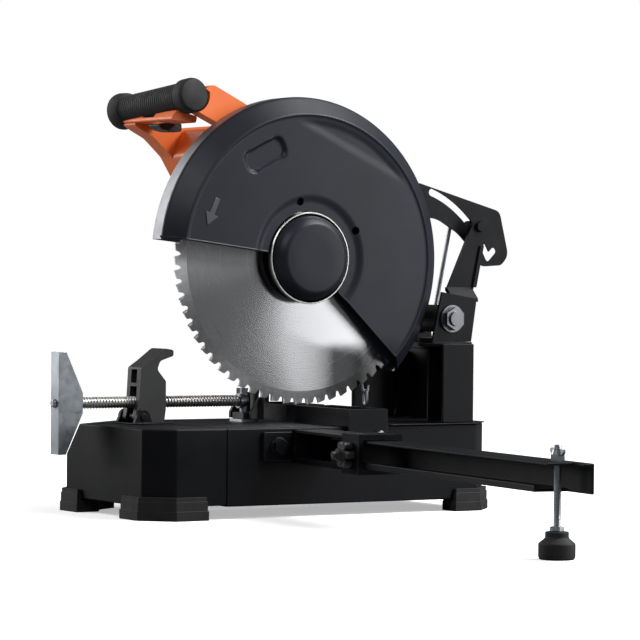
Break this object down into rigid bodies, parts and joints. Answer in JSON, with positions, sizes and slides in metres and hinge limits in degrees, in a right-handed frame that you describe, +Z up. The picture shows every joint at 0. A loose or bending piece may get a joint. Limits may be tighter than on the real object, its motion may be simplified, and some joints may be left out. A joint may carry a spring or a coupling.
{
  "type": "metal cutting chop saw",
  "caption": "Bench chop saw for metal: toothed disc in a hinged guarded head, linked moving guard, screw vise, fence and a sliding support arm on a levelling foot.",
  "frame": {"origin": "centre of the bounding box in plan, at the level of the feet", "axes": "+X operator's right and out of the blade's visible side, +Y the rear, +Z up"},
  "size_m": [0.9916, 0.6344, 0.5179],
  "materials": {
    "black_paint": "satin powder coat",
    "guard_paint": "satin paint",
    "cast_black": "rough paint over casting",
    "orange_plastic": "satin moulded",
    "rubber": "matt",
    "black_plastic": "matt moulded",
    "zinc": "zinc plated",
    "steel": "ground steel",
    "aluminium": "die cast"
  },
  "bodies": {
    "base": {"base_shell": "black_paint", "front_casing": "black_paint", "foot_front_right": "rubber", "foot_front_left": "rubber", "foot_rear_right": "rubber", "foot_rear_left": "rubber", "deck_plate": "black_paint", "tower": "black_paint", "pedestal": "black_paint", "pivot_bracket": "black_paint", "pivot_bracket_left": "black_paint", "pivot_bolt": "zinc", "cam_pin": "black_paint", "chip_deflector": "black_paint", "fence_left": "black_paint", "fence_right": "black_paint", "fence_bolt_left": "zinc", "fence_bolt_right": "zinc", "fence_strip": "zinc", "arm_mount": "black_paint", "arm_mount_bolt": "black_paint", "arm_sleeve": "black_paint", "vise_mount": "zinc"},
    "head": {"upper_guard": "guard_paint", "guard_back": "aluminium", "gearbox": "aluminium", "head_arm": "cast_black", "stop_rod": "zinc", "motor_housing": "orange_plastic", "motor_cap": "black_plastic", "brush_cap_front": "black_plastic", "brush_cap_rear": "black_plastic", "cord_inlet": "rubber", "handle_frame": "orange_plastic", "grip": "rubber", "chain_hook": "zinc"},
    "trigger": {"trigger": "black_plastic"},
    "lock_off": {"lock_off_button": "orange_plastic"},
    "spindle_lock": {"spindle_lock": "black_plastic"},
    "blade": {"blade": "steel", "inner_flange": "steel", "outer_flange": "steel", "arbor": "steel"},
    "lower_guard": {"lower_guard": "guard_paint", "cam_plate": "black_paint", "hub_cap": "guard_paint"},
    "chain_upper": {"chain_link_upper": "zinc"},
    "chain_lower": {"chain_link_lower": "zinc"},
    "vise_lever": {"vise_lever": "cast_black"},
    "vise_carriage": {"vise_carriage": "zinc"},
    "vise_jaw": {"vise_jaw": "cast_black"},
    "vise_screw": {"vise_screw": "steel", "vise_crank": "zinc", "crank_rivet": "zinc"},
    "support_arm": {"support_arm": "black_paint"},
    "arm_knob": {"arm_knob": "black_plastic"},
    "levelling_foot": {"foot_rod": "zinc", "foot_pad": "rubber"},
    "wing_nut": {"wing_nut": "zinc"}
  },
  "joints": [
    {"name": "head_pivot", "type": "hinge", "parent": "base", "child": "head", "pos_m": [-0.2698, 0.2108, 0.23], "axis": [1, 0, 0], "range_deg": [-22, 10.5]},
    {"name": "blade_spin", "type": "hinge", "parent": "head", "child": "blade", "pos_m": [-0.2698, 0.0048, 0.303], "axis": [1, 0, 0], "continuous": true},
    {"name": "lower_guard_swing", "type": "hinge", "parent": "head", "child": "lower_guard", "pos_m": [-0.2698, 0.0048, 0.303], "axis": [1, 0, 0], "range_deg": [-8.85, 4.54]},
    {"name": "trigger_pull", "type": "hinge", "parent": "head", "child": "trigger", "pos_m": [-0.3748, -0.1152, 0.46], "axis": [1, 0, 0], "range_deg": [-7, 0], "stiffness_Nm_per_rad": 1.2, "springref_deg": 3.44},
    {"name": "lock_off_press", "type": "slide", "parent": "head", "child": "lock_off", "axis": [1, 0, 0], "range_m": [0, 0.004], "stiffness_N_per_m": 400, "springref_m": -0.001},
    {"name": "spindle_lock_press", "type": "slide", "parent": "head", "child": "spindle_lock", "axis": [0, 0, -1], "range_m": [0, 0.005], "stiffness_N_per_m": 400, "springref_m": -0.001},
    {"name": "chain_swing", "type": "hinge", "parent": "head", "child": "chain_upper", "pos_m": [-0.2913, 0.1128, 0.1516], "axis": [1, 0, 0], "range_deg": [-12, 12]},
    {"name": "chain_lower_swing", "type": "hinge", "parent": "chain_upper", "child": "chain_lower", "pos_m": [-0.2913, 0.1128, 0.1392], "axis": [0, 1, 0], "range_deg": [-12, 12]},
    {"name": "vise_release", "type": "hinge", "parent": "base", "child": "vise_lever", "pos_m": [-0.3018, -0.2072, 0.113], "axis": [1, 0, 0], "range_deg": [0, 30]},
    {"name": "vise_slide", "type": "slide", "parent": "base", "child": "vise_carriage", "axis": [0, 1, 0], "range_m": [-0.075, 0.018]},
    {"name": "vise_jaw_swivel", "type": "hinge", "parent": "vise_carriage", "child": "vise_jaw", "pos_m": [-0.3018, -0.0542, 0.118], "axis": [0, 0, 1], "range_deg": [-12, 12]},
    {"name": "vise_screw_turn", "type": "hinge", "parent": "vise_carriage", "child": "vise_screw", "pos_m": [-0.3018, -0.1852, 0.13], "axis": [0, 1, 0], "continuous": true},
    {"name": "arm_extend", "type": "slide", "parent": "base", "child": "support_arm", "axis": [0.9903, -0.1392, 0], "range_m": [-0.08, 0.05]},
    {"name": "arm_knob_turn", "type": "hinge", "parent": "base", "child": "arm_knob", "pos_m": [0.01639, -0.11029, 0.082], "axis": [-0.1392, -0.9903, 0], "continuous": true},
    {"name": "foot_adjust", "type": "slide", "parent": "support_arm", "child": "levelling_foot", "axis": [0, 0, 1], "range_m": [0, 0.03]},
    {"name": "wing_nut_turn", "type": "hinge", "parent": "support_arm", "child": "wing_nut", "pos_m": [0.45331, -0.1414, 0.103], "axis": [0, 0, 1], "continuous": true}
  ],
  "couplings": [
    {"joint": "lower_guard_swing", "follows": "head_pivot", "ratio": 0.375}
  ]
}
